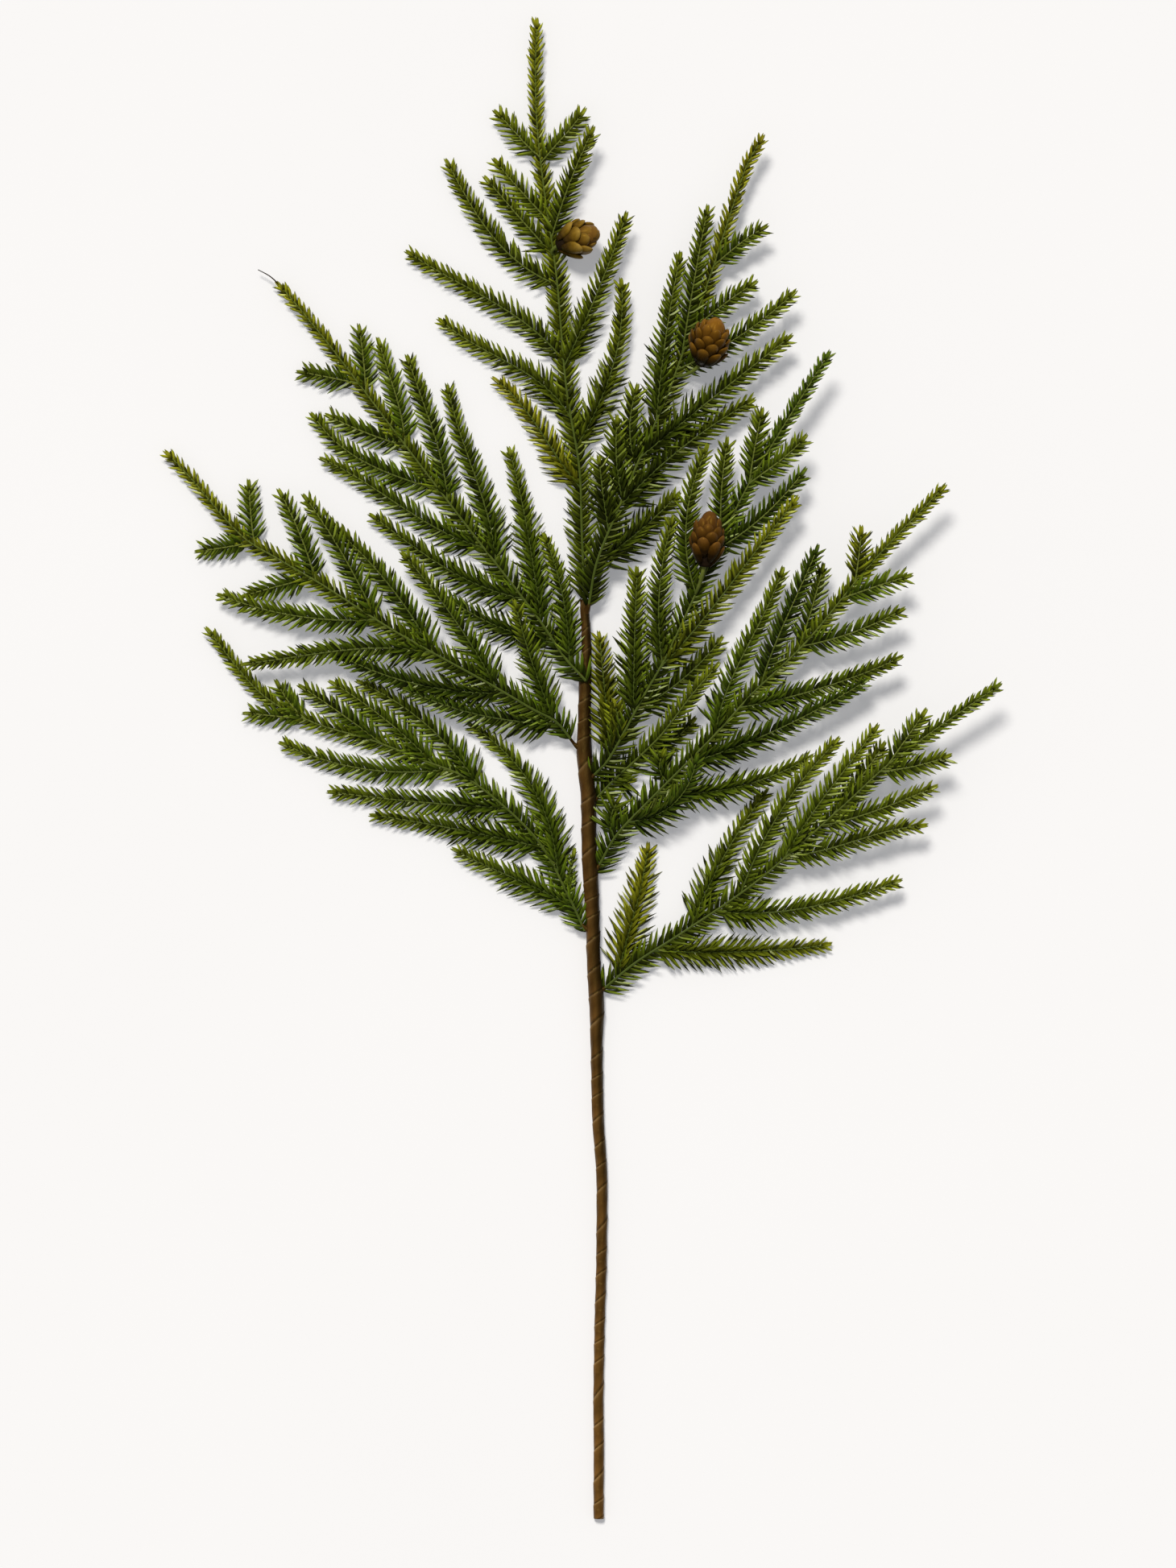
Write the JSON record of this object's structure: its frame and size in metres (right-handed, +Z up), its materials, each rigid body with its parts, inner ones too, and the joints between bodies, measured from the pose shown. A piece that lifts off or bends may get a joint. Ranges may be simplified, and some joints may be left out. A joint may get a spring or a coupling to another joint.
{
  "type": "japanese cedar sprig",
  "caption": "Cut conifer sprig that lies flat: a woody stem with forking branches clothed in short curved green needles, and small brown cones among them.",
  "frame": {"origin": "on the table under the middle of the sprig", "axes": "+Y from the stem's cut end to the leading tip, +X to the right seen from above, +Z up from the table"},
  "size_m": [0.435, 0.782, 0.0406],
  "materials": {
    "stem": "brown wrapped bark with fine wrinkles, satin",
    "needles": "soft green, yellower at the tips, satin",
    "cone": "brown overlapping scales, satin"
  },
  "bodies": {
    "root": {"stem": "stem", "leader": "needles", "right_upper_branch": "needles", "right_middle_branch": "needles", "right_inner_branch": "needles", "right_long_branch": "needles", "right_lower_branch": "needles", "left_upper_branch": "needles", "left_middle_branch": "needles", "left_lower_branch": "needles", "top_cone": "cone", "upper_cone": "cone", "middle_cone": "cone"}
  },
  "joints": []
}
